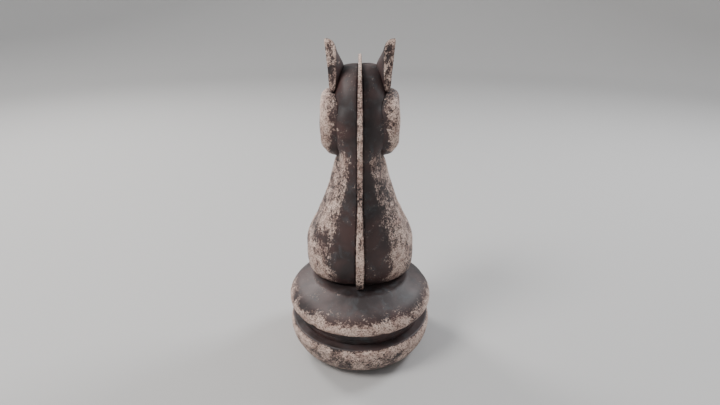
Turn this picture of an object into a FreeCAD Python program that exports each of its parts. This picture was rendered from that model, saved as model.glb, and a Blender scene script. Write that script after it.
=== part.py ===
import FreeCAD, Part
import math
import os

# Giant lawn-chess knight in painted timber, millimetres, +Z up, the horse faces -Y.
# The origin is on the ground under the middle of the round base.
# Everything scales from the base radius R; hardware has its own real sizes.

Vec = FreeCAD.Vector
UP = Vec(0, 0, 1)

# ---------------------------------------------------------------- driving dimensions
R = 117.0                   # outer radius of both base discs
FOOT_STAND = 3.0            # how far the rubber pads hold the timber off the ground
LOWER_TOP = 0.51 * R        # top of the lower disc
WAIST_TOP = 0.73 * R        # top of the recessed waist disc
SEAT_Z = 1.12 * R           # flat seat on the upper disc, where the figure stands
SEAT_R = 0.66 * R
WAIST_R = 0.86 * R
UNDER_R = 0.72 * R          # flat underside of the lower disc

RECESS_R, RECESS_DEPTH = 46.0, 34.0     # ballast recess in the lower disc
COVER_R, COVER_T = 60.0, 6.0
BALLAST_R, BALLAST_T, BALLAST_COUNT = 45.0, 12.0, 2
PAD_R, PAD_T, PAD_RING_R, PAD_COUNT = 9.0, 8.0, 73.0, 4
STACK_SCREW_D, STACK_SCREW_LENGTH, STACK_RING_R = 7.0, 78.0, 38.0

STUD_R, STUD_DOWN, STUD_UP = 8.0, 27.0, 52.0   # M16 stud, below and above the seat
INSERT_BORE_R = STUD_R + 0.06
INSERT_R, INSERT_LENGTH = 14.0, 30.0
FLANGE_R, FLANGE_T = 32.0, 4.0
WASHER_T = 2.0
PLATE_R, PLATE_T, PLATE_RING_R = 38.0, 5.0, 26.0

MANE_FOOT_T, MANE_MID_T, MANE_TOP_T = 12.8, 8.6, 4.0   # board thickness, heel to poll
SECTION_POINTS = 24         # steps round a whole cross-section of the carving


# ---------------------------------------------------------------- small tools
def export(name, shape):
    shape.exportStep(os.path.join("parts", name + ".step"))
    print(name, "solids", len(shape.Solids), "volume", round(shape.Volume / 1000.0, 1), "cm3")


def disc(radius, z_low, z_high, x=0.0, y=0.0):
    return Part.makeCylinder(radius, z_high - z_low, Vec(x, y, z_low), UP)


def rod_x(radius, x_low, x_high, y, z):
    return Part.makeCylinder(radius, x_high - x_low, Vec(x_low, y, z), Vec(1, 0, 0))


def turned(edges):
    """A closed outline in the XZ plane, spun about Z."""
    face = Part.Face(Part.Wire(edges))
    return face.revolve(Vec(0, 0, 0), UP, 360)


def line(a, b):
    return Part.LineSegment(Vec(a[0], 0, a[1]), Vec(b[0], 0, b[1])).toShape()


def arc(a, middle, b):
    points = [Vec(p[0], 0, p[1]) for p in (a, middle, b)]
    return Part.Arc(*points).toShape()


def smooth(points):
    curve = Part.BSplineCurve()
    curve.interpolate([Vec(p[0], 0, p[1]) for p in points])
    return curve.toShape()


def placed(shape, turn_axis, angle, move):
    copy = shape.copy()
    copy.rotate(Vec(0, 0, 0), turn_axis, angle)
    copy.translate(move)
    return copy


def around(shape, count, radius, start=0.0):
    """Copies of a shape made on the Z axis, spread round a circle."""
    copies = []
    for i in range(count):
        angle = math.radians(start + 360.0 * i / count)
        copy = shape.copy()
        copy.translate(Vec(radius * math.cos(angle), radius * math.sin(angle), 0))
        copies.append(copy)
    return copies


def countersunk_screw(diameter, length):
    """Screw with its head's face on z = 0, running up +Z to its point."""
    head_r, core_r = diameter, diameter / 2.0
    head_t, point = head_r - core_r, diameter
    outline = [(0, 0), (head_r, 0), (core_r, head_t), (core_r, length - point), (0, length)]
    edges = [line(outline[i], outline[(i + 1) % len(outline)]) for i in range(len(outline))]
    return turned(edges)


def mirrored(shape):
    return shape.mirror(Vec(0, 0, 0), Vec(1, 0, 0))


def cut_all(shape, tools):
    return shape.cut(Part.makeCompound(tools)) if tools else shape


# ---------------------------------------------------------------- carved cross-sections
def half_section(half_width, back, front, rear_taper, squareness):
    """Closed wire round the left half (x > 0) of an egg-shaped section.

    back and front are (y, z) points on the centre plane. rear_taper narrows the section
    towards back, and squareness above 2 gives flatter sides.
    """
    middle = ((back[0] + front[0]) / 2.0, (back[1] + front[1]) / 2.0)
    reach = ((back[0] - front[0]) / 2.0, (back[1] - front[1]) / 2.0)
    points = []
    for i in range(SECTION_POINTS):
        angle = 2.0 * math.pi * i / SECTION_POINTS
        s, c = math.sin(angle), math.cos(angle)
        across = math.copysign(abs(s) ** (2.0 / squareness), s) if i % (SECTION_POINTS // 2) else 0.0
        along = math.copysign(abs(c) ** (2.0 / squareness), c)
        width = half_width * (1.0 - rear_taper * (1.0 + along) / 2.0)
        points.append(Vec(width * across, middle[0] + reach[0] * along, middle[1] + reach[1] * along))
    curve = Part.BSplineCurve()
    curve.interpolate(points, PeriodicFlag=True)
    halfway = (curve.FirstParameter + curve.LastParameter) / 2.0
    side = curve.toShape(curve.FirstParameter, halfway)
    seam = Part.LineSegment(points[SECTION_POINTS // 2], points[0])
    return Part.Wire([side, seam.toShape()])


# Neck: height, half width, y of the nape, y of the chest, rear taper, squareness (times R).
NECK = [
    (1.12, 0.660, 0.365, -0.640, 0.10, 2.3),
    (1.15, 0.712, 0.410, -0.690, 0.10, 2.3),
    (1.21, 0.757, 0.458, -0.732, 0.10, 2.3),
    (1.33, 0.785, 0.505, -0.758, 0.10, 2.3),
    (1.55, 0.783, 0.520, -0.730, 0.12, 2.3),
    (1.82, 0.716, 0.500, -0.630, 0.14, 2.2),
    (2.12, 0.562, 0.445, -0.490, 0.18, 2.2),
    (2.44, 0.440, 0.395, -0.375, 0.24, 2.2),
    (2.80, 0.345, 0.370, -0.310, 0.30, 2.2),
    (3.10, 0.315, 0.348, -0.280, 0.30, 2.3),
    (3.40, 0.260, 0.250, -0.240, 0.20, 2.4),
]

# Head: brow-side point (y, z), jaw-side point (y, z), half width, squareness (times R).
# The first sections fan round the throat, from the nape over the poll.
HEAD = [
    ((0.290, 2.980), (-0.190, 2.950), 0.265, 2.4),
    ((0.338, 3.200), (-0.215, 2.930), 0.318, 2.5),
    ((0.302, 3.460), (-0.225, 2.905), 0.335, 2.8),
    ((0.205, 3.710), (-0.232, 2.885), 0.345, 3.2),
    ((0.055, 3.885), (-0.238, 2.860), 0.355, 3.6),
    ((-0.130, 3.960), (-0.245, 2.830), 0.365, 4.0),
    ((-0.320, 3.940), (-0.270, 2.775), 0.378, 4.0),
    ((-0.490, 3.790), (-0.330, 2.690), 0.365, 3.4),
    ((-0.650, 3.510), (-0.470, 2.600), 0.315, 3.0),
    ((-0.785, 3.210), (-0.610, 2.500), 0.265, 2.8),
    ((-0.890, 2.970), (-0.705, 2.410), 0.240, 2.7),
    ((-0.965, 2.780), (-0.790, 2.360), 0.235, 2.7),
    ((-0.985, 2.650), (-0.865, 2.370), 0.180, 2.5),
    ((-0.972, 2.580), (-0.915, 2.420), 0.100, 2.4),
]


def scaled(point):
    return (point[0] * R, point[1] * R)


def carved_half():
    """Left half of neck and head, flat on the centre plane."""
    neck_wires = [
        half_section(w * R, (back * R, z * R), (front * R, z * R), taper, square)
        for z, w, back, front, taper, square in NECK
    ]
    head_wires = [
        half_section(w * R, scaled(brow), scaled(jaw), 0.10, square)
        for brow, jaw, w, square in HEAD
    ]
    neck = Part.makeLoft(neck_wires, True, False)
    head = Part.makeLoft(head_wires, True, False)
    return neck.fuse(head)


# ---------------------------------------------------------------- base
def lower_disc():
    edges = [
        line((0, FOOT_STAND), (UNDER_R, FOOT_STAND)),
        smooth([(UNDER_R, FOOT_STAND), (0.87 * R, 0.095 * R), (0.965 * R, 0.24 * R),
                (R, 0.39 * R), (0.99 * R, 0.47 * R), (0.965 * R, LOWER_TOP)]),
        line((0.965 * R, LOWER_TOP), (0, LOWER_TOP)),
        line((0, LOWER_TOP), (0, FOOT_STAND)),
    ]
    return turned(edges)


def upper_disc():
    edges = [
        line((0, WAIST_TOP), (0.972 * R, WAIST_TOP)),
        smooth([(0.972 * R, WAIST_TOP), (0.993 * R, 0.765 * R), (R, 0.82 * R),
                (0.975 * R, 0.90 * R), (0.88 * R, 1.005 * R), (SEAT_R, SEAT_Z)]),
        line((SEAT_R, SEAT_Z), (0, SEAT_Z)),
        line((0, SEAT_Z), (0, WAIST_TOP)),
    ]
    return turned(edges)


def build_base():
    recess_top = FOOT_STAND + RECESS_DEPTH
    cover_top = FOOT_STAND + COVER_T
    flange_top = SEAT_Z - WASHER_T
    insert_low = flange_top - INSERT_LENGTH

    recess = disc(RECESS_R, 0, recess_top).fuse(disc(COVER_R, 0, cover_top))
    cover = disc(COVER_R, FOOT_STAND, cover_top)
    plates = [
        disc(BALLAST_R, recess_top - (i + 1) * BALLAST_T, recess_top - i * BALLAST_T)
        for i in range(BALLAST_COUNT)
    ]
    packing = disc(BALLAST_R, cover_top, recess_top - BALLAST_COUNT * BALLAST_T)

    pad = disc(PAD_R, 0, PAD_T)
    pad_screw = placed(countersunk_screw(4.0, 26.0), UP, 0, Vec(0, 0, 1.5))
    pad = pad.cut(pad_screw).cut(disc(4.0, 0, 1.5))
    pads = around(pad, PAD_COUNT, PAD_RING_R, 45)
    pad_screws = around(pad_screw, PAD_COUNT, PAD_RING_R, 45)
    pad_seats = around(disc(PAD_R, 0, PAD_T), PAD_COUNT, PAD_RING_R, 45)

    cover_screw = placed(countersunk_screw(4.0, 22.0), UP, 0, Vec(0, 0, FOOT_STAND))
    cover_screws = around(cover_screw, 6, (RECESS_R + COVER_R) / 2.0, 15)

    stack_screw = countersunk_screw(STACK_SCREW_D, STACK_SCREW_LENGTH)
    stack_screw.translate(Vec(0, 0, recess_top))
    stack_screws = around(stack_screw, 4, STACK_RING_R, 0)

    insert = disc(FLANGE_R, flange_top - FLANGE_T, flange_top).fuse(
        disc(INSERT_R, insert_low, flange_top))
    insert = insert.cut(disc(INSERT_BORE_R, insert_low, flange_top))
    insert_screw = placed(countersunk_screw(4.5, 30.0), Vec(1, 0, 0), 180, Vec(0, 0, flange_top))
    insert_screws = around(insert_screw, 3, 23.5, 90)

    washer = disc(FLANGE_R, flange_top, SEAT_Z).cut(disc(STUD_R + 0.5, flange_top, SEAT_Z))

    lower = cut_all(lower_disc(), [recess] + pad_seats + pad_screws + cover_screws + stack_screws)
    waist = cut_all(disc(WAIST_R, LOWER_TOP, WAIST_TOP), stack_screws)
    well = disc(FLANGE_R + 0.2, flange_top - FLANGE_T, SEAT_Z).fuse(
        disc(INSERT_R, insert_low, SEAT_Z))
    upper = cut_all(upper_disc(), [well] + stack_screws + insert_screws)

    export("lower_disc", lower)
    export("waist_disc", waist)
    export("upper_disc", upper)
    export("stack_screws", Part.makeCompound(stack_screws))
    export("ballast_plates", Part.makeCompound(plates))
    export("packing_disc", packing)
    export("ballast_cover", cut_all(cover, cover_screws))
    export("cover_screws", Part.makeCompound(cover_screws))
    export("rubber_pads", Part.makeCompound(pads))
    export("pad_screws", Part.makeCompound(pad_screws))
    export("socket_insert", cut_all(insert, insert_screws))
    export("insert_screws", Part.makeCompound(insert_screws))
    export("thrust_washer", washer)


# ---------------------------------------------------------------- mane board
# Outer edge of the board on the centre plane, heel to poll, then the edge let into the neck.
MANE_OUTER = [
    (0.535, 1.15), (0.625, 1.40), (0.645, 1.65), (0.605, 2.00), (0.545, 2.40),
    (0.515, 2.80), (0.480, 3.20), (0.400, 3.55), (0.215, 3.905),
]
MANE_CREST = [(0.215, 3.905), (0.0, 4.010), (-0.240, 4.075), (-0.330, 4.040)]
MANE_INNER = [
    (-0.300, 3.860), (-0.080, 3.800), (0.060, 3.690), (0.150, 3.500), (0.205, 3.200),
    (0.235, 2.800), (0.260, 2.400), (0.310, 2.000), (0.365, 1.650), (0.368, 1.400), (0.372, 1.15),
]
# Half the board's thickness against height.
MANE_HALF = [
    (1.10, MANE_FOOT_T / 2), (1.62, MANE_FOOT_T / 2), (2.00, 5.4), (2.30, 3.9),
    (2.65, MANE_MID_T / 2), (3.40, MANE_MID_T / 2), (3.66, 3.6), (4.15, MANE_TOP_T / 2),
]


def in_centre_plane(points):
    return [Vec(0, y * R, z * R) for y, z in points]


def spline_edge(points):
    curve = Part.BSplineCurve()
    curve.interpolate(points)
    return curve.toShape()


def build_mane_board():
    outer, crest = in_centre_plane(MANE_OUTER), in_centre_plane(MANE_CREST)
    inner = in_centre_plane(MANE_INNER)
    outline = Part.Wire([
        spline_edge(outer), spline_edge(crest),
        Part.LineSegment(crest[-1], inner[0]).toShape(),
        spline_edge(inner),
        Part.LineSegment(inner[-1], outer[0]).toShape(),
    ])
    slab = Part.Face(outline).extrude(Vec(R, 0, 0))
    slab.translate(Vec(-R / 2, 0, 0))
    right = [Vec(half, -2 * R, z * R) for z, half in MANE_HALF]
    left = [Vec(-p.x, p.y, p.z) for p in reversed(right)]
    envelope = Part.Face(Part.makePolygon(right + left + right[:1])).extrude(Vec(0, 4 * R, 0))
    return slab.common(envelope)


# ---------------------------------------------------------------- ears, cheeks, eyes
# Ear cross-sections (left ear), times R: height, then (x, y) corners in order: outer rear,
# inner rear, inner front, nose of the ear, outer front.
EAR = [
    (3.66, [(0.350, 0.062), (0.325, 0.066), (0.160, -0.150), (0.205, -0.270), (0.345, -0.220)]),
    (3.74, [(0.371, 0.085), (0.296, 0.098), (0.150, -0.150), (0.205, -0.275), (0.368, -0.235)]),
    (3.85, [(0.380, 0.092), (0.288, 0.106), (0.172, -0.135), (0.222, -0.255), (0.375, -0.215)]),
    (4.00, [(0.393, 0.090), (0.283, 0.104), (0.213, -0.105), (0.252, -0.210), (0.382, -0.175)]),
    (4.13, [(0.405, 0.076), (0.280, 0.088), (0.274, -0.055), (0.295, -0.135), (0.394, -0.110)]),
    (4.20, [(0.413, 0.060), (0.290, 0.072), (0.294, -0.020), (0.318, -0.085), (0.403, -0.070)]),
    (4.25, [(0.419, 0.045), (0.322, 0.052), (0.326, 0.002), (0.355, -0.045), (0.412, -0.038)]),
    (4.275, [(0.422, 0.034), (0.376, 0.038), (0.378, 0.012), (0.397, -0.010), (0.416, -0.008)]),
]
CHEEK_Y, CHEEK_Z, CHEEK_R = -0.090 * R, 3.255 * R, 0.425 * R
CHEEK_SLIMNESS = 0.87                   # front-to-back size over height
CHEEK_INNER, CHEEK_RIDGE, CHEEK_OUTER = 0.26 * R, 0.485 * R, 0.508 * R
EYE_Y, EYE_Z, EYE_R, EYE_PROUD = -0.515 * R, 3.490 * R, 7.0, 3.0


def ear_block():
    wires = []
    for z, corners in EAR:
        points = [Vec(x * R, y * R, z * R) for x, y in corners]
        wires.append(Part.makePolygon(points + points[:1]))
    return Part.makeLoft(wires, True, False)


def cheek_block():
    """An oval pad with a rolled rim up to a ridge, then a face that rises gently inwards."""
    side, ridge, crown = 0.11 * R, CHEEK_RIDGE - CHEEK_INNER, CHEEK_OUTER - CHEEK_INNER
    ridge_r, flat_r = CHEEK_R - 0.13 * R, 0.12 * CHEEK_R
    edges = [
        line((0, 0), (CHEEK_R, 0)),
        line((CHEEK_R, 0), (CHEEK_R, side)),
        arc((CHEEK_R, side), (CHEEK_R - 0.036 * R, ridge - 0.028 * R), (ridge_r, ridge)),
        arc((ridge_r, ridge), (0.6 * ridge_r, 0.35 * ridge + 0.65 * crown), (flat_r, crown)),
        line((flat_r, crown), (0, crown)),
        line((0, crown), (0, 0)),
    ]
    oval = FreeCAD.Matrix()
    oval.scale(1.0, CHEEK_SLIMNESS, 1.0)
    pad = placed(turned(edges), Vec(0, 1, 0), 90, Vec(CHEEK_INNER, 0, CHEEK_Z)).transformGeometry(oval)
    pad.translate(Vec(0, CHEEK_Y, 0))
    return pad


def eye_button(half):
    """A domed button on a peg; it stands a little proud of the carved side of the head."""
    feeler = Part.makeLine(Vec(0, EYE_Y, EYE_Z), Vec(R, EYE_Y, EYE_Z))
    surface_x = feeler.common(half).BoundBox.XMax
    dome_r = 1.2 * EYE_R
    dome = Part.makeSphere(dome_r, Vec(surface_x + EYE_PROUD - dome_r, EYE_Y, EYE_Z))
    peg = rod_x(EYE_R, surface_x - 12.0, surface_x + EYE_PROUD, EYE_Y, EYE_Z)
    neck = rod_x(EYE_R, surface_x - 12.0, surface_x + EYE_PROUD - dome_r, EYE_Y, EYE_Z)
    return dome.common(peg).fuse(neck)


def build_figure():
    half = carved_half()
    mane = build_mane_board()
    ear = ear_block().cut(half)
    cheek = cheek_block().cut(half)
    eye = eye_button(half)

    plate_top = SEAT_Z + PLATE_T
    stud = disc(STUD_R, SEAT_Z - STUD_DOWN, SEAT_Z + STUD_UP)
    plate = disc(PLATE_R, SEAT_Z, plate_top).cut(disc(STUD_R, SEAT_Z, plate_top))
    plate_screw = placed(countersunk_screw(5.0, 45.0), UP, 0, Vec(0, 0, SEAT_Z))
    plate_screws = around(plate_screw, 4, PLATE_RING_R, 45)

    half_pins = [
        rod_x(6.0, -0.30 * R, 0.30 * R, 0.12 * R, 1.85 * R),
        rod_x(6.0, -0.30 * R, 0.30 * R, -0.34 * R, 1.55 * R),
        rod_x(6.0, -0.20 * R, 0.20 * R, 0.02 * R, 2.60 * R),
        rod_x(6.0, -0.22 * R, 0.22 * R, -0.10 * R, 3.35 * R),
        rod_x(5.0, -0.15 * R, 0.15 * R, -0.66 * R, 2.90 * R),
    ]
    mane_pins = [
        rod_x(2.5, -half * R, half * R, y * R, z * R)
        for half, y, z in ((0.20, 0.420, 1.50), (0.18, 0.350, 2.20), (0.14, 0.290, 2.90), (0.14, 0.160, 3.60))
    ]
    ear_pin = disc(4.0, 3.62 * R - 10.0, 3.95 * R, 0.310 * R, -0.06 * R)
    cheek_pins = [
        rod_x(4.0, 0.20 * R, 0.44 * R, CHEEK_Y, CHEEK_Z + dz) for dz in (-0.20 * R, 0.20 * R)
    ]

    hardware = [stud, plate, mane, ear_pin, eye] + plate_screws + half_pins + mane_pins + cheek_pins
    half = cut_all(half, hardware)

    ear_done = ear.cut(ear_pin).cut(cheek)
    cheek_done = cut_all(cheek, cheek_pins + [ear_pin])
    export("half_pins", Part.makeCompound(half_pins))
    export("mane_board", cut_all(mane, mane_pins + half_pins))
    export("mane_pins", Part.makeCompound(mane_pins))
    for side, flip in (("left", lambda s: s), ("right", mirrored)):
        export("figure_" + side + "_half", flip(half))
        export(side + "_ear", flip(ear_done))
        export(side + "_cheek", flip(cheek_done))
        export(side + "_eye", flip(eye))
    export("ear_pins", Part.makeCompound([ear_pin, mirrored(ear_pin)]))
    export("cheek_pins", Part.makeCompound(cheek_pins + [mirrored(p) for p in cheek_pins]))
    export("mounting_stud", stud)
    export("stud_plate", cut_all(plate, plate_screws))
    export("plate_screws", Part.makeCompound(plate_screws))


os.makedirs("parts", exist_ok=True)
build_base()
build_figure()
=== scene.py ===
import math
import random

import bmesh
import bpy
import numpy as np
from mathutils import Matrix, Vector, noise
from mathutils.bvhtree import BVHTree


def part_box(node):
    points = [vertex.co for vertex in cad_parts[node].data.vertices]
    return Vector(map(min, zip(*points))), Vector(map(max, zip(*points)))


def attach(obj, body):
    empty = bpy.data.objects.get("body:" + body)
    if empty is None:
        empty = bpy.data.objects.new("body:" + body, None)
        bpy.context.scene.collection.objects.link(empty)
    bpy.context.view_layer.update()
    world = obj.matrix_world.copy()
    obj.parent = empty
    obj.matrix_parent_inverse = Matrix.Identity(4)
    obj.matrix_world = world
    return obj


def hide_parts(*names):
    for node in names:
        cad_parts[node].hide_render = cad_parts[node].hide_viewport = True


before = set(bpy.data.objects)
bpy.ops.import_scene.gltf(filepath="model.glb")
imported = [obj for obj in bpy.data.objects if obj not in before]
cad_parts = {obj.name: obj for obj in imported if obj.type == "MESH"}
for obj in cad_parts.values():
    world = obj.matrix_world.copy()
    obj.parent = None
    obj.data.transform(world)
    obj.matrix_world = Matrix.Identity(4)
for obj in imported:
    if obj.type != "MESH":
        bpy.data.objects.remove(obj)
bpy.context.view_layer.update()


# ------------------------------------------------------------------ lower disc
# The bottom disc of the base, turned from a glued-up hardwood block. Its belly rolls under to
# a flat underside, where the ballast recess and the cover's rebate are turned out of it.
disc_low, disc_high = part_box("lower_disc")
R = (disc_high.x - disc_low.x) / 2        # the base radius, which everything else follows
STAND = disc_low.z                        # the underside's height on its feet
FINE = 0.0028                             # point spacing on the turned pieces
TURN_STEPS = 240                          # facets round a turned piece
UPRIGHT, LEVEL = 2, 0                     # the axis that a board's fibres run along
timber = []                               # stained pieces: object, where it is rubbed, fibres


def flowing(points, spacing=FINE):
    """A smooth curve through the given points, sampled at an even spacing."""
    ends = [2 * Vector(points[0]) - Vector(points[1])]
    ends += [Vector(p) for p in points]
    ends += [2 * Vector(points[-1]) - Vector(points[-2])]
    line = []
    for a, b, c, d in zip(ends, ends[1:], ends[2:], ends[3:]):
        count = max(2, round((c - b).length / spacing))
        for i in range(count):
            t = i / count
            line.append(0.5 * (2 * b + (c - a) * t + (2 * a - 5 * b + 4 * c - d) * t * t
                               + (3 * b - a - 3 * c + d) * t ** 3))
    return line + [ends[-2]]


def straight(points, spacing=FINE):
    """The straight runs between the given points, cut into even lengths."""
    line = []
    for a, b in zip(points, points[1:]):
        a, b = Vector(a), Vector(b)
        count = max(1, round((b - a).length / spacing))
        line += [a.lerp(b, i / count) for i in range(count)]
    return line + [Vector(points[-1])]


def outline(*runs):
    """Runs joined end to end, with the points they share taken once."""
    line = [runs[0][0]]
    for run in runs:
        line += [p for p in run if (p - line[-1]).length > 1e-6]
    return line


def into_scene(name, shape):
    """The bmesh becomes an object at the origin, smooth-shaded."""
    mesh = bpy.data.meshes.new(name)
    shape.to_mesh(mesh)
    shape.free()
    mesh.shade_smooth()
    piece = bpy.data.objects.new(name, mesh)
    bpy.context.scene.collection.objects.link(piece)
    return piece


def eased_edges(shape, width, sharper_than=40.0, segments=3):
    """Rounds every arris sharper than an angle in degrees."""
    shape.normal_update()
    limit = math.radians(sharper_than)
    sharp = [e for e in shape.edges if len(e.link_faces) == 2 and e.calc_face_angle() > limit]
    bmesh.ops.bevel(shape, geom=sharp, offset=width, segments=segments, profile=0.5,
                    affect="EDGES", material=-1, clamp_overlap=True)


def turned(line, arris=0.0012, steps=TURN_STEPS):
    """A lathe piece: an outline of (radius, height) points spun about the Z axis."""
    shape = bmesh.new()
    points = [shape.verts.new((p[0], 0, p[1])) for p in line]
    runs = [shape.edges.new(pair) for pair in zip(points, points[1:])]
    bmesh.ops.spin(shape, geom=points + runs, cent=(0, 0, 0), axis=(0, 0, 1),
                   angle=2 * math.pi, steps=steps, use_merge=True)
    bmesh.ops.remove_doubles(shape, verts=shape.verts, dist=1e-6)
    bmesh.ops.recalc_face_normals(shape, faces=shape.faces)
    if arris:
        eased_edges(shape, arris)
    return shape


def knocked(piece, dents, seed, low, high, deepest=0.0016):
    """Small bruises and chips: seeded points where the surface is pressed in."""
    draw = random.Random(seed)
    place = np.array([v.co for v in piece.data.vertices])
    normal = np.array([v.normal for v in piece.data.vertices])
    spots = [i for i in range(len(place)) if low <= place[i, 2] <= high]
    for _ in range(dents):
        centre = place[draw.choice(spots)]
        radius = draw.uniform(0.004, 0.011)
        depth = deepest * draw.uniform(0.35, 1.0)
        near = np.clip(1 - ((place - centre) ** 2).sum(1) / radius ** 2, 0, 1)
        place -= normal * (depth * near ** 2)[:, None]
    piece.data.vertices.foreach_set("co", place.ravel())
    piece.data.update()


def rises(values, low, high):
    """0 at low, 1 at high and smooth between, for arrays; high may be the smaller."""
    share = np.clip((values - low) / (high - low), 0, 1)
    return share * share * (3 - 2 * share)


def lower_disc_rub(place, out):
    """Bare all round the belly, whole on the flat top and half gone underneath."""
    belly = 0.47 - 0.71 * rises(out[:, 2], 0.45, 0.90) - 0.14 * rises(place[:, 2], 0.475, 0.50)
    return belly - 0.30 * rises(out[:, 2], -0.90, -0.99)


def stained(piece, body, node, rub, fibres):
    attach(piece, body)
    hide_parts(node)
    timber.append((piece, rub, fibres))


cover_high, ballast_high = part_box("ballast_cover")[1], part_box("ballast_plates")[1]
COVER_R, RECESS_R = cover_high.x, ballast_high.x + 0.001
UNDER_R, LOWER_TOP = 0.72 * R, disc_high.z
lower_disc = into_scene("lower_disc_turned", turned(outline(
    straight([(0, ballast_high.z), (RECESS_R, ballast_high.z), (RECESS_R, cover_high.z),
              (COVER_R, cover_high.z), (COVER_R, STAND), (UNDER_R, STAND)]),
    flowing([(UNDER_R, STAND), (0.87 * R, 0.095 * R), (0.965 * R, 0.24 * R),
             (R, 0.39 * R), (0.99 * R, 0.47 * R), (0.965 * R, LOWER_TOP)]),
    straight([(0.965 * R, LOWER_TOP), (0.80 * R, LOWER_TOP)]),
    straight([(0.80 * R, LOWER_TOP), (0, LOWER_TOP)], 0.03))))
knocked(lower_disc, 34, 3, 0.02 * R, 0.5 * R)
stained(lower_disc, "base", "lower_disc", lower_disc_rub, LEVEL)


# ------------------------------------------------------------------ waist disc
# A smaller disc between the two large ones makes the deep groove round the base. It is turned
# with two shallow scored lines and is hardly ever touched, so its stain is whole.
waist_low, waist_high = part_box("waist_disc")
WAIST_R = waist_high.x
SCORE = 0.0012


def scored_wall(radius, low, high, lines):
    """The wall of a turned piece with V lines scored at shares of its height."""
    wall = [(radius, low)]
    for share in lines:
        z = low + share * (high - low)
        wall += [(radius, z - SCORE), (radius - SCORE, z), (radius, z + SCORE)]
    return wall + [(radius, high)]


def waist_rub(place, out):
    """Out of reach, so the stain is whole."""
    return -0.25 + 0 * out[:, 2]


waist_disc = into_scene("waist_disc_turned", turned(outline(
    straight([(0, waist_low.z), (WAIST_R, waist_low.z)], 0.02),
    straight(scored_wall(WAIST_R, waist_low.z, waist_high.z, (0.3, 0.7))),
    straight([(WAIST_R, waist_high.z), (0, waist_high.z)], 0.02)), arris=0.0004))
stained(waist_disc, "base", "waist_disc", waist_rub, LEVEL)


# ------------------------------------------------------------------ upper disc
# The domed disc that the figure stands on. The middle of its top is a flat seat with a turned
# well for the socket's flange and barrel, and its rim is where hands and the ground wear it.
upper_low, upper_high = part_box("upper_disc")
flange_low, flange_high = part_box("socket_insert")
SEAT_Z, SEAT_R = upper_high.z, 0.66 * R
FLANGE_R, FLANGE_T, BARREL_R = flange_high.x, 0.004, 0.014
WHOLE = -0.22                             # wear where nothing rubs the stain


def upper_disc_rub(place, out):
    """A bare band round the lower part of the rim; the dome above it keeps its stain."""
    band = WHOLE + 0.62 * rises(place[:, 2], 1.02, 0.84) - 0.14 * rises(place[:, 2], 0.785, 0.765)
    return band - 0.70 * rises(out[:, 2], -0.80, -0.97)


upper_disc = into_scene("upper_disc_turned", turned(outline(
    straight([(0, upper_low.z), (0.8 * R, upper_low.z)], 0.03),
    straight([(0.8 * R, upper_low.z), (0.972 * R, upper_low.z)]),
    flowing([(0.972 * R, upper_low.z), (0.993 * R, 0.765 * R), (R, 0.82 * R),
             (0.975 * R, 0.90 * R), (0.88 * R, 1.005 * R), (SEAT_R, SEAT_Z)]),
    straight([(SEAT_R, SEAT_Z), (FLANGE_R + 0.0002, SEAT_Z),
              (FLANGE_R + 0.0002, flange_high.z - FLANGE_T), (BARREL_R, flange_high.z - FLANGE_T),
              (BARREL_R, flange_low.z), (0, flange_low.z)]))))
knocked(upper_disc, 30, 8, upper_low.z, 0.98 * R)
stained(upper_disc, "base", "upper_disc", upper_disc_rub, LEVEL)


# ------------------------------------------------------------------ neck and head
# The figure is carved from two boards glued on the centre plane, with pins across the glue
# line. The two halves are shaped together, so they are cut apart only after the carving.
CARVING_GRID = 0.0015
GLUE_LINE = 0.0005                        # how deep the glue line has opened


def even_block(name, nodes, grid, passes):
    """One closed skin round copies of CAD pieces, with points on an even grid, eased a little."""
    shape = bmesh.new()
    for node in nodes:
        copy = bmesh.new()
        copy.from_mesh(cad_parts[node].data)
        bmesh.ops.remove_doubles(copy, verts=copy.verts, dist=1e-6)
        joined = bpy.data.meshes.new("joined")
        copy.to_mesh(joined)
        copy.free()
        shape.from_mesh(joined)
        bpy.data.meshes.remove(joined)
    block = into_scene(name, shape)
    remesh = block.modifiers.new("grid", "REMESH")
    remesh.mode = "VOXEL"
    remesh.voxel_size = grid
    solved = block.evaluated_get(bpy.context.evaluated_depsgraph_get())
    even = bpy.data.meshes.new_from_object(solved)
    bpy.data.objects.remove(block)
    shape = bmesh.new()
    shape.from_mesh(even)
    bpy.data.meshes.remove(even)
    drop_inner_shells(shape)
    for _ in range(passes):
        bmesh.ops.smooth_vert(shape, verts=shape.verts, factor=0.5,
                              use_axis_x=True, use_axis_y=True, use_axis_z=True)
    return shape


def drop_inner_shells(shape):
    """Keeps the largest connected skin."""
    waiting, shells = set(shape.verts), []
    while waiting:
        front = [waiting.pop()]
        shell = list(front)
        while front:
            vert = front.pop()
            for edge in vert.link_edges:
                other = edge.other_vert(vert)
                if other in waiting:
                    waiting.remove(other)
                    front.append(other)
                    shell.append(other)
        shells.append(shell)
    shells.sort(key=len)
    for shell in shells[:-1]:
        bmesh.ops.delete(shape, geom=shell, context="VERTS")


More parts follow.
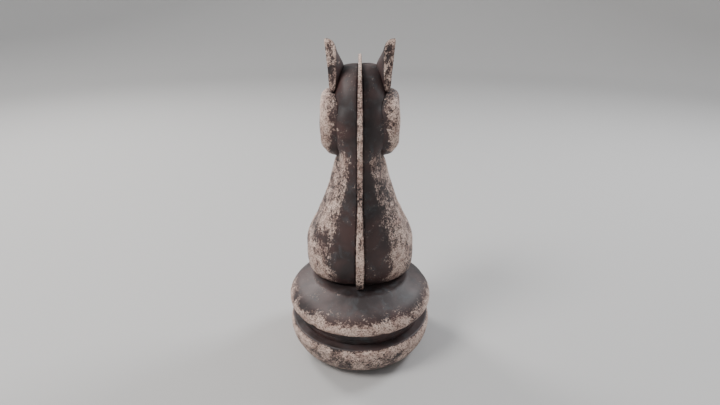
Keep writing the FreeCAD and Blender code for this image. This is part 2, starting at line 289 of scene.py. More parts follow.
class Carving:
    """A skin whose points are moved along its normals, the same on both sides of x = 0."""

    def __init__(self, shape):
        self.shape = shape
        shape.normal_update()
        self.place = np.array([v.co for v in shape.verts])
        self.normal = np.array([v.normal for v in shape.verts])
        self.tree = BVHTree.FromBMesh(shape)

    def on_skin(self, point):
        """A point on the left, in base radii, moved to the nearest place on the skin or on its
        mirror image."""
        left = Vector(point) * R
        right = Vector((-left.x, left.y, left.z))
        place = min((self.tree.find_nearest(p) for p in (left, right)), key=lambda hit: hit[3])[0]
        return np.array((abs(place.x), place.y, place.z))

    def nearness(self, path, radius):
        """1 on a path over the skin, falling smoothly to 0 at a radius from it."""
        folded = self.place.copy()
        folded[:, 0] = abs(folded[:, 0])
        stops = [self.on_skin(p) for p in path]
        nearest = np.full(len(folded), np.inf)
        for a, b in zip(stops, stops[1:] or stops):
            run = b - a
            share = np.clip((folded - a) @ run / max(run @ run, 1e-12), 0, 1)
            gap = np.linalg.norm(folded - a - share[:, None] * run, axis=1)
            nearest = np.minimum(nearest, gap)
        return np.clip(1 - (nearest / radius) ** 2, 0, 1) ** 2

    def press(self, path, radius, depth):
        """Presses a groove or hollow in along a path, or raises a ridge for a negative depth."""
        self.place -= self.normal * (self.nearness(path, radius) * depth)[:, None]

    def roughen(self, size, height, seed):
        """Unevenness left by the tools: soft noise of a given size and height."""
        shift = Vector((seed, 2.3 * seed, 5.1 * seed))
        field = np.array([noise.noise(Vector(p) / size + shift) for p in self.place])
        self.place += self.normal * (field * height)[:, None]

    def done(self):
        for vert, place in zip(self.shape.verts, self.place):
            vert.co = place
        self.shape.normal_update()
        return self.shape


carving = Carving(even_block(
    "figure", ["figure_left_half", "figure_right_half", "half_pins", "cheek_pins", "ear_pins"],
    CARVING_GRID, 3))

# brow, eye socket, lids, and the tear line down from the eye
carving.press([(0.36, -0.515, 3.49)], 0.0200, 0.0048)
carving.press([(0.37, -0.38, 3.57), (0.37, -0.46, 3.625), (0.35, -0.56, 3.60),
               (0.34, -0.63, 3.50)], 0.0085, -0.0056)
carving.press([(0.37, -0.40, 3.44), (0.36, -0.50, 3.365), (0.35, -0.60, 3.40)], 0.0065, -0.0034)
carving.press([(0.35, -0.60, 3.43), (0.31, -0.66, 3.33), (0.29, -0.68, 3.22)], 0.0070, 0.0030)
# ridge of the nose, crest of the cheekbone, the hollow under it, and the flat sides of the nose
carving.press([(0.10, -0.52, 3.76), (0.11, -0.70, 3.40), (0.10, -0.86, 3.02)], 0.0120, -0.0022)
carving.press([(0.37, -0.46, 3.30), (0.34, -0.58, 3.17), (0.29, -0.70, 2.97)], 0.0100, -0.0050)
carving.press([(0.33, -0.49, 3.04), (0.29, -0.60, 2.86), (0.25, -0.70, 2.70)], 0.0160, 0.0066)
carving.press([(0.30, -0.665, 3.28), (0.25, -0.78, 3.02)], 0.0130, 0.0036)
# nostril with its raised wing, lips, chin
carving.press([(0.20, -0.905, 2.92), (0.235, -0.945, 2.82), (0.22, -0.950, 2.72)],
              0.0120, -0.0050)
carving.press([(0.20, -0.940, 2.835), (0.195, -0.962, 2.765)], 0.0078, 0.0120)
carving.press([(0.0, -0.975, 2.550), (0.12, -0.94, 2.535), (0.19, -0.86, 2.540),
               (0.22, -0.76, 2.60)], 0.0052, 0.0062)
carving.press([(0.0, -0.965, 2.640), (0.13, -0.955, 2.62), (0.20, -0.88, 2.63)], 0.0080, -0.0024)
carving.press([(0.0, -0.905, 2.440), (0.10, -0.885, 2.43), (0.15, -0.83, 2.44)], 0.0090, -0.0036)
carving.press([(0.0, -0.765, 2.37), (0.12, -0.75, 2.40), (0.2, -0.71, 2.47)], 0.0085, 0.0040)
# jaw bars, throat, neck muscle, shoulder and breast
carving.press([(0.26, -0.42, 2.78), (0.22, -0.56, 2.62), (0.18, -0.68, 2.50)], 0.0100, -0.0034)
carving.press([(0.0, -0.42, 2.63), (0.0, -0.62, 2.50)], 0.0130, 0.0060)
carving.press([(0.28, -0.16, 2.80), (0.38, -0.32, 2.35), (0.53, -0.43, 1.95)], 0.0170, 0.0052)
carving.press([(0.30, 0.00, 2.75), (0.44, -0.07, 2.38), (0.56, -0.14, 2.10)], 0.0190, -0.0030)
carving.press([(0.56, -0.28, 2.02), (0.65, -0.22, 1.88), (0.72, -0.16, 1.66)], 0.0240, -0.0018)
carving.press([(0.60, -0.05, 2.00), (0.66, -0.05, 1.85)], 0.0300, 0.0022)
carving.press([(0.58, -0.36, 2.00), (0.66, -0.36, 1.75), (0.66, -0.36, 1.45)], 0.0170, 0.0025)
carving.press([(0.0, -0.56, 1.95), (0.0, -0.72, 1.60), (0.0, -0.75, 1.25)], 0.0160, 0.0060)
# muscle behind the jaw, which runs out under the rear of the cheek pad
carving.press([(0.26, 0.22, 3.31), (0.26, 0.22, 3.18), (0.27, 0.22, 3.02)], 0.0280, -0.0054)
carving.roughen(0.034, 0.0008, 1)
carving.roughen(0.011, 0.00022, 2)
figure_skin = carving.done()


def half_of(skin, side, name):
    """The part of a skin on one side of the centre plane, closed by its glue face. A fine V is
    left where the two boards meet."""
    half = skin.copy()
    bmesh.ops.bisect_plane(half, geom=half.verts[:] + half.edges[:] + half.faces[:], dist=1e-7,
                           plane_co=(0, 0, 0), plane_no=(side, 0, 0), clear_inner=True)
    rim = [e for e in half.edges if len(e.link_faces) == 1]
    half.normal_update()
    for vert in {v for e in rim for v in e.verts}:
        vert.co.yz -= Vector(vert.normal.yz) * GLUE_LINE
    bmesh.ops.triangle_fill(half, use_beauty=True, use_dissolve=False, edges=rim,
                            normal=(-side, 0, 0))
    bmesh.ops.recalc_face_normals(half, faces=half.faces)
    return into_scene(name, half)


def figure_rub(place, out):
    """Bare down both sides of the neck, more on the right; whole by the mane and on the poll."""
    x, y, z = place.T
    facing_back = out[:, 1] / np.maximum(np.hypot(out[:, 0], out[:, 1]), 1e-6)
    turn = np.interp(z, (1.14, 1.30, 1.50, 1.75, 2.10, 2.90),
                     (0.990, 0.965, 0.890, 0.895, 0.885, 0.840))
    neck = 0.76 * rises(facing_back - turn, 0.07, -0.09) * rises(z, 3.05, 2.86)
    neck -= 0.30 * rises(facing_back, -0.15, -0.75) * rises(z, 1.55, 2.00)
    neck += 0.15 * rises(-x, 0.40, 0.60) * rises(z, 1.40, 1.60) * rises(z, 2.20, 2.00)
    missed = np.exp(-((x - 0.50) / 0.17) ** 2 - ((z - 1.80) / 0.11) ** 2)
    neck -= 0.48 * missed * rises(out[:, 1], 0.15, 0.45)
    face = 0.44 * rises(y, -0.24, -0.42) * rises(z, 2.20, 2.50)
    return WHOLE + np.maximum(neck, face)


for side, word in ((1, "left"), (-1, "right")):
    half = half_of(figure_skin, side, f"figure_{word}_carved")
    stained(half, "figure", f"figure_{word}_half", figure_rub, UPRIGHT)
figure_skin.free()


# ------------------------------------------------------------------ mane board
# A thin board on edge in a slot between the halves. It stands proud from the forehead over
# the poll and down the nape, and its outer edge is rubbed bare along its whole length.
def mane_rub(place, out):
    """Bare along the thin outer edge, most of all over the poll; stained on both faces."""
    edge = rises(abs(out[:, 0]), 0.85, 0.45)
    return WHOLE + edge * (0.64 + 0.45 * rises(place[:, 2], 3.80, 3.93))


mane = Carving(even_block("mane", ["mane_board"], 0.0011, 2))
mane.roughen(0.030, 0.0004, 3)
mane_board = into_scene("mane_board_shaped", mane.done())
stained(mane_board, "figure", "mane_board", mane_rub, UPRIGHT)


# ------------------------------------------------------------------ ears
# Two upright ears, sawn as wedges and pinned into the head, with a flat back edge and a
# hollow gouged up the front of each.
def ear_rub(place, out):
    """Bare on the flat back edge and at the tip, thin outside, whole inside the ear."""
    back = 0.43 * rises(out[:, 1], 0.40, 0.70)
    outside = 0.46 * rises(out[:, 0] * np.sign(place[:, 0]), 0.55, 0.85)
    return WHOLE + np.maximum(back, outside) + 0.24 * rises(place[:, 2], 4.17, 4.26)


for side, word in ((1, "left"), (-1, "right")):
    ear = Carving(even_block(f"{word}_ear", [f"{word}_ear"], 0.0011, 2))
    ear.press([(0.29, -0.27, 3.72), (0.31, -0.22, 3.92), (0.345, -0.13, 4.08)], 0.0085, 0.0055)
    ear.roughen(0.020, 0.0005, 4)
    shaped = into_scene(f"{word}_ear_shaped", ear.done())
    stained(shaped, "figure", f"{word}_ear", ear_rub, UPRIGHT)


# ------------------------------------------------------------------ cheeks
# Oval pads planted on the sides of the head, each with a rolled rim and a low crowned face.
CHEEK_Y, CHEEK_Z = -0.090, 3.255          # the pad's middle, in base radii
RING_WIDE, RING_TALL = 0.236, 0.272       # half the size of the ring cut in its face
turns = [0.2 * i for i in range(33)]
face_ring = [(0.50, CHEEK_Y + RING_WIDE * math.cos(t), CHEEK_Z + RING_TALL * math.sin(t))
             for t in turns]


def cheek_rub(place, out):
    """Bare over the rolled rim and the crowned face, stained towards the neck and below."""
    inner = 0.300 + 0.06 * rises(place[:, 2], 3.45, 2.95)
    return WHOLE + 0.62 * rises(abs(place[:, 0]) - inner, -0.055, 0.055)


for side, word in ((1, "left"), (-1, "right")):
    cheek = Carving(even_block(f"{word}_cheek", [f"{word}_cheek"], 0.0013, 2))
    cheek.press(face_ring, 0.0060, 0.0022)
    cheek.press([(0.50, CHEEK_Y - 0.14, CHEEK_Z - 0.36), (0.50, CHEEK_Y, CHEEK_Z - 0.40),
                 (0.50, CHEEK_Y + 0.14, CHEEK_Z - 0.36)], 0.0240, 0.0046)
    cheek.roughen(0.026, 0.0007, 5)
    shaped = into_scene(f"{word}_cheek_shaped", cheek.done())
    knocked(shaped, 6, 11 + side, 2.8 * R, 3.7 * R, 0.0012)
    stained(shaped, "figure", f"{word}_cheek", cheek_rub, UPRIGHT)


# ------------------------------------------------------------------ weathering
# The stain wears off whatever hands, other pieces and the lawn rub, and off every arris, and
# it stays in corners, which are darkened further as painted shade from how shut in they are.
# Each stained piece gets two values at its points: its wear, 0 whole and 1 bare, and its shade.
SWELL_REACH, ARRIS_REACH = 0.024, 0.0045  # how broad a swelling, and how fine an edge
NOOK_REACH = 0.050                        # how near something has to be to shade a corner
NOOK_RAYS = 14
# how far a swelling, an arris, a crease and a corner move the wear; a corner's share is
# partly painted shade
SWELL_SHARE, ARRIS_SHARE, CREASE_SHARE, NOOK_SHADE_SHARE = 0.16, 0.26, 0.45, 0.50


def even_directions(count):
    """Directions spread evenly over a sphere."""
    golden = math.pi * (3 - math.sqrt(5))
    spread = []
    for i in range(count):
        z = 1 - 2 * (i + 0.5) / count
        ring = math.sqrt(1 - z * z)
        spread.append(Vector((ring * math.cos(golden * i), ring * math.sin(golden * i), z)))
    return spread


def averaged(values, links, passes):
    """Each point's value becomes the mean of its neighbours', a number of times."""
    start, other, count = links
    degree = np.maximum(np.bincount(start, minlength=count), 1)
    for _ in range(passes):
        values = np.stack([np.bincount(start, column[other], count) for column in values.T], 1)
        values /= degree[:, None]
    return values


def shaded(place, normal, everything, directions):
    """How much of the space in front of each point is taken up by something close."""
    closed = np.zeros(len(place))
    for i in range(len(place)):
        outward = Vector(normal[i])
        start = Vector(place[i]) + outward * 0.0006
        for direction in directions:
            facing = direction.dot(outward)
            ray = direction if facing > 0 else -direction
            gap = everything.ray_cast(start, ray, NOOK_REACH)[3]
            if gap is not None:
                closed[i] += abs(facing) * (1 - gap / NOOK_REACH)
    return closed * 2.0 / len(directions)


def weather(piece, rub, everything, directions):
    """Writes a stained piece's two point values: how rubbed it is, and how shut in, which is
    used as painted shade.
    """
    mesh = piece.data
    count = len(mesh.vertices)
    place = np.array([v.co for v in mesh.vertices])
    normal = np.array([v.normal for v in mesh.vertices])
    ends = np.array([e.vertices[:] for e in mesh.edges])
    first, second = ends.T
    links = (np.concatenate((first, second)), np.concatenate((second, first)), count)
    edge = np.median(np.linalg.norm(place[first] - place[second], axis=1))
    bulge = []
    for reach in (SWELL_REACH, ARRIS_REACH):
        relaxed = averaged(place, links, max(2, round(2 * (reach / edge) ** 2)))
        bulge.append(((place - relaxed) * normal).sum(1) / reach)
    swell, arris = bulge
    # ambient occlusion from the pieces close by, used as the painted shade of shut-in corners
    nook_shade = averaged(shaded(place, normal, everything, directions)[:, None], links, 3)[:, 0]
    wear = rub(place / R, normal) + SWELL_SHARE * (np.clip(swell, -0.4, 1.0) - 0.3)
    wear += ARRIS_SHARE * rises(arris, 0.035, 0.22) - CREASE_SHARE * rises(arris, -0.03, -0.20)
    # shut-in corners keep more of their stain, and are darkened further as painted shade
    wear -= NOOK_SHADE_SHARE * nook_shade
    for layer, values in (("wear", wear), ("nook_shade", nook_shade)):
        points = mesh.attributes.new(layer, "FLOAT", "POINT").data
        points.foreach_set("value", values.astype(np.float32))


crowd = bmesh.new()
for piece, rub, fibres in timber:
    crowd.from_mesh(piece.data)
everything = BVHTree.FromBMesh(crowd)
crowd.free()
directions = even_directions(NOOK_RAYS)
for piece, rub, fibres in timber:
    weather(piece, rub, everything, directions)


# ------------------------------------------------------------------ stained timber
# The finish of every timber piece: a near-black brown stain under a semi-gloss coat, rubbed
# through to bare pinkish-pale wood with fine dark flecks left in its fibres. Up-facing stain
# gets dust with a painted sheen, and bare wood in corners a painted shade.
class Signal:
    """A shader socket that can be used in sums: each operator adds a Math node."""

    def __init__(self, finish, socket):
        self.finish = finish
        self.socket = socket

    def sum(self, operation, first, second):
        return self.finish.node("ShaderNodeMath", {"operation": operation}, {0: first, 1: second})

    def __add__(self, other):
        return self.sum("ADD", self, other)

    def __radd__(self, other):
        return self.sum("ADD", other, self)

    def __sub__(self, other):
        return self.sum("SUBTRACT", self, other)

    def __rsub__(self, other):
        return self.sum("SUBTRACT", other, self)

    def __mul__(self, other):
        return self.sum("MULTIPLY", self, other)

    def __rmul__(self, other):
        return self.sum("MULTIPLY", other, self)


class Finish:
    """A material with one Principled shader. node() adds any other node, and returns its
    output."""

    def __init__(self, name, fixed):
        self.material = bpy.data.materials.new(name)
        self.material.use_nodes = True
        self.tree = self.material.node_tree
        self.shader = self.tree.nodes["Principled BSDF"]
        self.set(self.shader, fixed)

    def set(self, node, values):
        for key, value in values.items():
            if isinstance(value, Signal):
                self.tree.links.new(value.socket, node.inputs[key])
            else:
                node.inputs[key].default_value = value

    def node(self, kind, settings, inputs, output=0):
        made = self.tree.nodes.new(kind)
        for key, value in settings.items():
            setattr(made, key, value)
        self.set(made, inputs)
        return Signal(self, made.outputs[output])

    def drive(self, values):
        """Links or sets the Principled shader's own sockets."""
        self.set(self.shader, values)

    def layer(self, name):
        return self.node("ShaderNodeAttribute", {"attribute_name": name}, {}, "Fac")

    def place(self, scale=(1, 1, 1), shift=(0, 0, 0)):
        """Object coordinates, stretched and shifted."""
        spot = self.node("ShaderNodeTexCoord", {}, {}, "Object")
        return self.node("ShaderNodeMapping", {}, {
            "Vector": spot, "Scale": scale, "Location": shift})

    def upward(self):
        """1 where the surface faces up, -1 where it faces down."""
        facing = self.node("ShaderNodeNewGeometry", {}, {}, "Normal")
        return self.node("ShaderNodeSeparateXYZ", {}, {"Vector": facing}, "Z")

    def noise(self, where, size, detail=3.0, rough=0.55, warp=0.0):
        """Noise whose features are about size metres across."""
        return self.node("ShaderNodeTexNoise", {}, {
            "Vector": where, "Scale": 1.0 / size, "Detail": detail, "Roughness": rough,
            "Distortion": warp})

    def step(self, value, low, high):
        """0 below low, 1 above high, smooth between."""
        return self.node("ShaderNodeMapRange", {"interpolation_type": "SMOOTHSTEP"}, {
            "Value": value, "From Min": low, "From Max": high})

    def mix(self, share, a, b):
        """One colour into another."""
        pair = {0: share}
        for key, colour in ((6, a), (7, b)):
            pair[key] = colour if isinstance(colour, Signal) else (*colour, 1.0)
        return self.node("ShaderNodeMix", {"data_type": "RGBA"}, pair, 2)

    def bump(self, height, depth):
        """A Bump node. depth is in metres for a height of 1."""
        return self.node("ShaderNodeBump", {}, {
            "Height": height, "Distance": depth, "Strength": 1.0})


STAIN_DARK, STAIN_RED = (0.023, 0.015, 0.015), (0.066, 0.031, 0.028)
# DUST_AND_SHEEN is dust on up-facing stain, and a painted sheen of light from above
STAIN_GREY, DUST_AND_SHEEN = (0.054, 0.058, 0.063), (0.105, 0.106, 0.108)
# RESIDUE_AND_SHADE is stain left in the fibres of rubbed wood, and the painted shade on bare wood
# in corners
RESIDUE_AND_SHADE = (0.062, 0.037, 0.033)           # stain left in the fibres of rubbed wood
BARE_PALE, BARE_PINK, BARE_TAN = (0.73, 0.560, 0.475), (0.50, 0.338, 0.280), (0.28, 0.170, 0.135)
# how far each pattern moves the edge of the rubbed wood, broadest first
CLOUD_SHARE, PATCH_SHARE, FLECK_SHARE, SPECK_SHARE = 1.4, 1.5, 2.3, 1.3


def worn_stain(name, fibres, seed):
    """fibres is the axis that the grain runs along. seed shifts the patterns."""
    finish = Finish(name, {"IOR": 1.5, "Coat Roughness": 0.42, "Coat IOR": 1.5})
    shift = (0.31 * seed, 0.17 * seed, 0.23 * seed)
    drawn_out, long_drawn = [1, 1, 1], [1, 1, 1]
    drawn_out[fibres], long_drawn[fibres] = 0.65, 0.07
    plain = finish.place(shift=shift)
    fibre = finish.place(scale=drawn_out, shift=shift)
    streak = finish.place(scale=long_drawn, shift=shift)

    clouds = finish.noise(plain, 0.050, 3, 0.55, 0.4)
    patches = finish.noise(plain, 0.017, 4, 0.6, 0.6)
    flecks = finish.noise(fibre, 0.0024, 2, 0.60, 1.0)
    specks = finish.noise(plain, 0.0017, 1, 0.60, 0.3)
    lines = finish.noise(streak, 0.0012, 3, 0.6, 0.3)

    wear, nook_shade = finish.layer("wear"), finish.layer("nook_shade")
    rubbed = wear + (clouds - 0.5) * CLOUD_SHARE + (patches - 0.5) * PATCH_SHARE
    rubbed = rubbed + (flecks - 0.5) * FLECK_SHARE + (specks - 0.5) * SPECK_SHARE
    bare = finish.step(rubbed, 0.35, 0.47)
    halo = finish.step(rubbed, 0.12, 0.38)

    tint = finish.mix(finish.step(clouds, 0.35, 0.65), STAIN_DARK, STAIN_RED)
    tint = finish.mix(finish.step(patches, 0.48, 0.72) * 0.7, tint, STAIN_GREY)
    # dust and painted sheen: stain that faces up is lightened, both as dust and as a painted
    # reflection
    dust = finish.step(finish.upward(), 0.45, 0.98) * finish.step(clouds, 0.30, 0.70)
    tint = finish.mix(dust * 0.30, tint, DUST_AND_SHEEN)
    wood = finish.mix(finish.step(patches, 0.32, 0.66), BARE_PINK, BARE_PALE)
    wood = finish.mix(finish.step(lines, 0.50, 0.66) * 0.6, wood, BARE_TAN)
    wood = finish.mix(finish.step(specks, 0.54, 0.60) * 0.88, wood, RESIDUE_AND_SHADE)
    # painted shade: bare wood is darkened where it is shut in
    wood = finish.mix(finish.step(nook_shade, 0.15, 0.70) * 0.5, wood, RESIDUE_AND_SHADE)
    colour = finish.mix(halo * 0.75, tint, RESIDUE_AND_SHADE)
    colour = finish.mix(bare, colour, wood)
    coat = 1 - bare
    relief = coat * 0.55 + lines * 0.25 + flecks * 0.20
    finish.drive({
        "Base Color": colour,
        "Roughness": bare * 0.14 + patches * 0.24 + 0.45,
        "Coat Weight": coat * 0.06,
        "Normal": finish.bump(relief, 0.00040)})
    return finish.material


for seed, (piece, rub, fibres) in enumerate(timber, 1):
    piece.data.materials.append(worn_stain(f"stain_{piece.name}", fibres, seed))


# ------------------------------------------------------------------ eyes
# Black-lacquered hardwood buttons on pegs, glued into drilled sockets, one each side. A scored
# ring marks the pupil in the dome.
def lathe_across(name, line, side, place, steps=64):
    """A small lathe piece turned to point along +X or -X, with its foot at a place."""
    shape = turned(line, 0, steps)
    bmesh.ops.rotate(shape, verts=shape.verts, cent=(0, 0, 0),
                     matrix=Matrix.Rotation(side * math.radians(90), 3, "Y"))
    bmesh.ops.translate(shape, verts=shape.verts, vec=place)
    return into_scene(name, shape)


def eye_lacquer():
    finish = Finish("eye_lacquer", {"IOR": 1.52, "Coat Roughness": 0.06, "Coat Weight": 1.0})
    plain = finish.place()
    brush = finish.noise(finish.place(scale=(1, 1, 0.2)), 0.0008, 3, 0.6)
    chips = finish.step(finish.noise(plain, 0.0022, 4, 0.7, 0.5), 0.66, 0.70)
    colour = finish.mix(brush, (0.010, 0.008, 0.008), (0.022, 0.016, 0.014))
    finish.drive({
        "Base Color": finish.mix(chips, colour, BARE_TAN),
        "Roughness": brush * 0.14 + chips * 0.4 + 0.10,
        "Normal": finish.bump(brush * 0.3 - chips, 0.00015)})
    return finish.material


lacquer = eye_lacquer()
for side, word in ((1, "left"), (-1, "right")):
    low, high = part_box(f"{word}_eye")
    radius, length = (high.y - low.y) / 2, high.x - low.x
    edge_z = length - 0.0037              # where the dome starts above the peg's foot
    foot = ((low.x if side > 0 else high.x), (low.y + high.y) / 2, (low.z + high.z) / 2)
    eye = lathe_across(f"{word}_eye_turned", outline(
        straight([(0, 0), (radius, 0), (radius, edge_z)], 0.0015),
        flowing([(radius, edge_z), (0.80 * radius, length - 0.0018),
                 (0.56 * radius, length - 0.0008)], 0.0005),
        straight([(0.56 * radius, length - 0.0008), (0.52 * radius, length - 0.0013),
                  (0.48 * radius, length - 0.0006)], 0.0004),
        flowing([(0.48 * radius, length - 0.0006), (0.25 * radius, length - 0.0001),
                 (0, length)], 0.0005)),
        side, foot)
    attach(eye, "figure")
    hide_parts(f"{word}_eye")
    eye.data.materials.append(lacquer)


# ------------------------------------------------------------------ dowel pins
# Plain hardwood dowels, glued across the centre plane and into the mane, ears and cheeks. They
# are wholly hidden, so their shapes stay as drawn.
def finished(nodes, material):
    """Puts a finish on nodes whose drawn shape stays."""
    for name in nodes:
        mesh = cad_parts[name].data
        mesh.materials.clear()
        mesh.materials.append(material)


def dowel_wood():
    finish = Finish("dowel_wood", {"IOR": 1.5})
    grain = finish.noise(finish.place(scale=(0.05, 1, 1)), 0.0009, 4, 0.6, 0.3)
    tone = finish.noise(finish.place(), 0.010, 2)
    colour = finish.mix(tone, (0.52, 0.36, 0.22), (0.64, 0.47, 0.31))
    vessels = finish.step(grain, 0.50, 0.70) * 0.7
    finish.drive({
        "Base Color": finish.mix(vessels, colour, (0.30, 0.18, 0.10)),
        "Roughness": grain * 0.2 + 0.55,
        "Normal": finish.bump(grain, 0.00015)})
    return finish.material


finished(["half_pins", "mane_pins", "ear_pins", "cheek_pins"], dowel_wood())


# ------------------------------------------------------------------ ballast
# Two rough iron discs that keep the piece upright, pressed up into the recess by a rubber disc
# and shut in by a varnished plywood cover let into the underside.
def cast_iron():
    finish = Finish("ballast_iron", {"Metallic": 1.0})
    sand = finish.noise(finish.place(), 0.0014, 5, 0.7)
    rust = finish.step(finish.noise(finish.place(), 0.012, 4, 0.65, 0.5), 0.50, 0.62)
    colour = finish.mix(sand, (0.10, 0.10, 0.105), (0.18, 0.18, 0.185))
    finish.drive({
        "Base Color": finish.mix(rust * 0.8, colour, (0.16, 0.055, 0.022)),
        "Metallic": 1 - rust * 0.9,
        "Roughness": sand * 0.25 + rust * 0.2 + 0.45,
        "Normal": finish.bump(sand, 0.00040)})
    return finish.material


def moulded_rubber():
    finish = Finish("moulded_rubber", {"IOR": 1.52})
    skin = finish.noise(finish.place(), 0.0007, 3, 0.6)
    dust = finish.step(finish.noise(finish.place(), 0.006, 5, 0.7, 0.6), 0.48, 0.70)
    colour = finish.mix(skin, (0.018, 0.018, 0.018), (0.034, 0.033, 0.032))
    finish.drive({
        "Base Color": finish.mix(dust * 0.5, colour, (0.20, 0.18, 0.155)),
        "Roughness": skin * 0.15 + dust * 0.12 + 0.58,
        "Normal": finish.bump(skin + dust * 0.3, 0.00010)})
    return finish.material


def varnished_ply():
    finish = Finish("varnished_ply", {"IOR": 1.5, "Coat Roughness": 0.2, "Coat Weight": 0.35})
    figure = finish.noise(finish.place(scale=(0.10, 1, 1)), 0.006, 4, 0.6, 1.0)
    pores = finish.noise(finish.place(scale=(0.04, 1, 1)), 0.0007, 3, 0.6)
    scuffs = finish.noise(finish.place(scale=(1, 0.3, 1)), 0.010, 5, 0.7, 0.4)
    scuffs = finish.step(scuffs, 0.60, 0.72)
    colour = finish.mix(finish.step(figure, 0.35, 0.65), (0.36, 0.21, 0.105), (0.54, 0.36, 0.20))
    colour = finish.mix(finish.step(pores, 0.56, 0.70) * 0.7, colour, (0.20, 0.11, 0.055))
    finish.drive({
        "Base Color": finish.mix(scuffs * 0.6, colour, (0.62, 0.50, 0.36)),
        "Roughness": scuffs * 0.3 + pores * 0.1 + 0.32,
        "Normal": finish.bump(pores * 0.5 - scuffs * 0.5, 0.00018)})
    return finish.material


rubber = moulded_rubber()
finished(["ballast_plates"], cast_iron())
finished(["packing_disc"], rubber)
finished(["ballast_cover"], varnished_ply())


# ------------------------------------------------------------------ rubber pads
# Four moulded pads let into the underside keep the timber off wet grass. Each has a rounded
# rim, a moulded groove round its foot and a counterbore for its screw.
PAD_RING, PAD_R, PAD_T = 0.073, 0.009, 0.008


def ring_of(name, shape, count, radius, start):
    """Copies of a shape made on the Z axis, spread round a circle and each turned a bit."""
    source = bpy.data.meshes.new("source")
    shape.to_mesh(source)
    shape.free()
    crowd = bmesh.new()
    for i in range(count):
        angle = math.radians(start + 360.0 * i / count)
        copy = bmesh.new()
        copy.from_mesh(source)
        bmesh.ops.rotate(copy, verts=copy.verts, cent=(0, 0, 0),
                         matrix=Matrix.Rotation(angle + 1.3 * i, 3, "Z"))
        bmesh.ops.translate(copy, verts=copy.verts,
                            vec=(radius * math.cos(angle), radius * math.sin(angle), 0))
        placed = bpy.data.meshes.new("placed")
        copy.to_mesh(placed)
        copy.free()
        crowd.from_mesh(placed)
        bpy.data.meshes.remove(placed)
    bpy.data.meshes.remove(source)
    return into_scene(name, crowd)


pad = turned(straight([
    (0.0020, PAD_T), (0.0020, 0.0035), (0.0040, 0.0015), (0.0040, 0.0003), (0.0044, 0),
    (0.0058, 0), (0.0060, 0.0005), (0.0065, 0.0005), (0.0067, 0), (0.0080, 0),
    (0.0087, 0.0004), (PAD_R, 0.0012), (PAD_R, PAD_T), (0.0020, PAD_T)], 0.001), 0, 48)
pads = ring_of("rubber_pads_moulded", pad, 4, PAD_RING, 45)
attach(pads, "base")
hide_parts("rubber_pads")
pads.data.materials.append(rubber)


# ------------------------------------------------------------------ screws
# Zinc-plated countersunk wood screws with a star-shaped drive. Those under the pads and the
# cover and in the stud plate can be seen; the rest are buried in the timber.
def zinc_plate():
    finish = Finish("zinc_plate", {"Metallic": 1.0})
    bloom = finish.noise(finish.place(), 0.004, 4, 0.6, 0.5)
    scratches = finish.noise(finish.place(scale=(0.08, 1, 1)), 0.0005, 3, 0.6)
    spots = finish.step(finish.noise(finish.place(), 0.0018, 4, 0.7), 0.64, 0.70)
    colour = finish.mix(bloom, (0.56, 0.57, 0.58), (0.70, 0.69, 0.66))
    finish.drive({
        "Base Color": finish.mix(spots * 0.7, colour, (0.36, 0.33, 0.29)),
        "Metallic": 1 - spots * 0.5,
        "Roughness": bloom * 0.25 + scratches * 0.15 + spots * 0.2 + 0.16,
        "Normal": finish.bump(scratches * 0.5 - spots * 0.5, 0.00006)})
    return finish.material


def threaded(shape, radius, pitch, depth, low, high):
    """Cuts a right-hand thread into the points that stand at a radius."""
    for vert in shape.verts:
        reach = math.hypot(vert.co.x, vert.co.y)
        if abs(reach - radius) < 1e-6 and low < vert.co.z < high:
            turns = vert.co.z / pitch - math.atan2(vert.co.y, vert.co.x) / (2 * math.pi)
            fade = min(1, (vert.co.z - low) / pitch, (high - vert.co.z) / pitch)
            cut = depth * fade * 2 * abs(turns - math.floor(turns) - 0.5)
            vert.co.x *= 1 - cut / radius
            vert.co.y *= 1 - cut / radius


def star_screw(diameter, length, face):
    """A countersunk screw running up from its head, whose face is at a height."""
    core, drive = diameter / 2, 0.48 * diameter
    head_top, socket = diameter - core, 0.38 * diameter
    shape = turned(outline(
        straight([(0, socket), (0.86 * drive, socket - 0.0002), (drive, 0.0002),
                  (1.05 * drive, 0), (0.97 * diameter, 0), (diameter, 0.0002),
                  (core, head_top + 0.0002)], 0.0006),
        straight([(core, head_top + 0.0002), (core, length - diameter)], 0.00032),
        straight([(core, length - diameter), (0, length)], 0.0008)), 0, 36)
    threaded(shape, core, 0.45 * diameter, 0.14 * diameter, head_top + 0.003, length - diameter)
    for vert in shape.verts:
        reach = math.hypot(vert.co.x, vert.co.y)
        if reach <= 1.01 * drive and vert.co.z <= socket + 1e-6:
            lobes = 1 + 0.14 * math.cos(6 * math.atan2(vert.co.y, vert.co.x))
            vert.co.x *= lobes
            vert.co.y *= lobes
    bmesh.ops.translate(shape, verts=shape.verts, vec=(0, 0, face))
    return shape


zinc = zinc_plate()
for node, body, diameter, length, face, count, radius, start in (
        ("pad_screws", "base", 0.004, 0.026, 0.0015, 4, PAD_RING, 45),
        ("cover_screws", "base", 0.004, 0.022, STAND, 6, (RECESS_R + COVER_R) / 2 - 0.0005, 15),
        ("plate_screws", "figure", 0.005, 0.045, SEAT_Z, 4, 0.026, 45)):
    screws = ring_of(f"{node}_turned", star_screw(diameter, length, face), count, radius, start)
    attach(screws, body)
    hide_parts(node)
    screws.data.materials.append(zinc)
finished(["stack_screws", "insert_screws", "socket_insert", "stud_plate"], zinc)


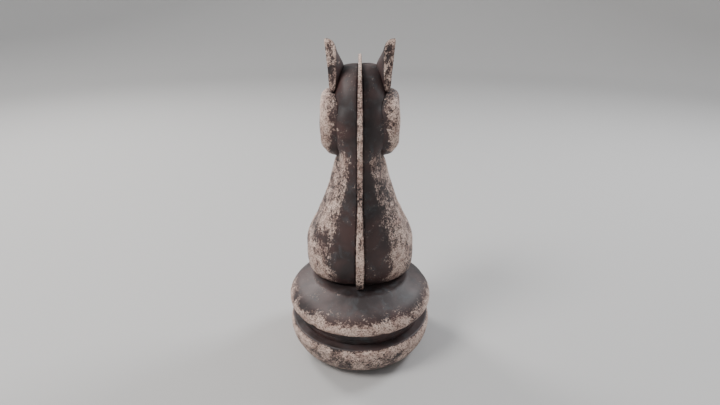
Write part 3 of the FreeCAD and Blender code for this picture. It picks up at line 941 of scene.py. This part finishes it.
# ------------------------------------------------------------------ mounting stud
# A zinc-plated stud with a rolled 2 mm thread, welded into the plate under the figure. The
# figure is screwed down into the base by it, and unscrews for carrying and storing.
stud_low, stud_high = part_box("mounting_stud")
STUD_R, STUD_CORE_R, CHAMFER = stud_high.x, 0.0068, 0.0012
THREAD_PITCH, THREAD_DEPTH = 0.002, 0.00115
stud_shape = turned(outline(
    straight([(0, stud_low.z), (STUD_CORE_R, stud_low.z)], 0.002),
    straight([(STUD_CORE_R, stud_low.z), (STUD_R, stud_low.z + CHAMFER)], 0.0006),
    straight([(STUD_R, stud_low.z + CHAMFER), (STUD_R, stud_high.z - CHAMFER)], 0.00033),
    straight([(STUD_R, stud_high.z - CHAMFER), (STUD_CORE_R, stud_high.z)], 0.0006),
    straight([(STUD_CORE_R, stud_high.z), (0, stud_high.z)], 0.002)), 0, 56)
threaded(stud_shape, STUD_R, THREAD_PITCH, THREAD_DEPTH,
         stud_low.z + CHAMFER, stud_high.z - CHAMFER)
stud = into_scene("mounting_stud_threaded", stud_shape)
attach(stud, "figure")
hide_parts("mounting_stud")
stud.data.materials.append(zinc)


# ------------------------------------------------------------------ thrust washer
# A bronze washer in the well of the base, so that the figure screws down without scuffing the
# seat. It is faced on a lathe and has tarnished.
def washer_bronze():
    finish = Finish("washer_bronze", {"Metallic": 1.0})
    reach = finish.node("ShaderNodeVectorMath", {"operation": "LENGTH"},
                        {0: finish.place(scale=(1, 1, 0))}, "Value")
    rings = finish.node("ShaderNodeTexNoise", {"noise_dimensions": "1D"},
                        {"W": reach, "Scale": 3500.0, "Detail": 2.0})
    tarnish = finish.step(finish.noise(finish.place(), 0.008, 4, 0.65, 0.6), 0.40, 0.66)
    colour = finish.mix(rings, (0.50, 0.33, 0.14), (0.66, 0.47, 0.22))
    finish.drive({
        "Base Color": finish.mix(tarnish * 0.7, colour, (0.24, 0.15, 0.075)),
        "Roughness": rings * 0.15 + tarnish * 0.25 + 0.22,
        "Normal": finish.bump(rings, 0.00005)})
    return finish.material


washer_low, washer_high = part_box("thrust_washer")
BORE_R = STUD_R + 0.0005
washer = into_scene("thrust_washer_turned", turned(straight([
    (BORE_R, washer_low.z), (washer_high.x, washer_low.z), (washer_high.x, washer_high.z),
    (BORE_R, washer_high.z), (BORE_R, washer_low.z)], 0.003), 0.0003, 96))
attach(washer, "washer")
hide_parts("thrust_washer")
washer.data.materials.append(washer_bronze())


# ------------------------------------------------------------------ studio
# A pale floor that sweeps up into a backdrop, soft lamps, and the camera behind the horse.
sweep = flowing([(0, 0), (2.4, 0), (3.1, 0.12), (3.6, 0.62), (3.75, 1.4), (3.75, 2.6)], 0.15)
floor = into_scene("studio_floor", turned(sweep, 0, 96))
floor_finish = Finish("studio_paper", {"Base Color": (0.50, 0.495, 0.49, 1), "Roughness": 0.9})
floor.data.materials.append(floor_finish.material)

world = bpy.data.worlds.new("studio")
world.use_nodes = True
world.node_tree.nodes["Background"].inputs["Color"].default_value = (0.80, 0.82, 0.85, 1)
world.node_tree.nodes["Background"].inputs["Strength"].default_value = 0.55
bpy.context.scene.world = world


def lamp(name, place, aim, size, power, colour):
    data = bpy.data.lights.new(name, "AREA")
    data.shape = "DISK"
    data.size = size
    data.energy = power
    data.color = colour
    item = bpy.data.objects.new(name, data)
    item.location = place
    item.rotation_euler = (Vector(aim) - Vector(place)).to_track_quat("-Z", "Y").to_euler()
    bpy.context.scene.collection.objects.link(item)


MIDDLE = (0, 0, 2.1 * R)
lamp("key", (1.5, 0.9, 2.3), MIDDLE, 1.0, 60, (1.0, 0.97, 0.94))
lamp("rim_left", (1.7, -1.5, 1.8), MIDDLE, 0.8, 50, (1.0, 0.98, 0.96))
lamp("rim_right", (-1.8, -1.0, 1.8), MIDDLE, 0.8, 45, (0.95, 0.97, 1.0))

CAMERA_DISTANCE, CAMERA_ABOVE, TARGET_Z = 6.55 * R, 0.41, 2.18 * R
LENS, SENSOR = 24.45, 36.0
camera_data = bpy.data.cameras.new("camera")
camera_data.sensor_width = SENSOR
camera_data.lens = LENS
camera = bpy.data.objects.new("camera", camera_data)
target = Vector((0, 0, TARGET_Z))
back = Vector((0, math.cos(CAMERA_ABOVE), math.sin(CAMERA_ABOVE)))
camera.location = target + back * CAMERA_DISTANCE
camera.rotation_euler = (-back).to_track_quat("-Z", "Y").to_euler()
bpy.context.scene.collection.objects.link(camera)
bpy.context.scene.camera = camera
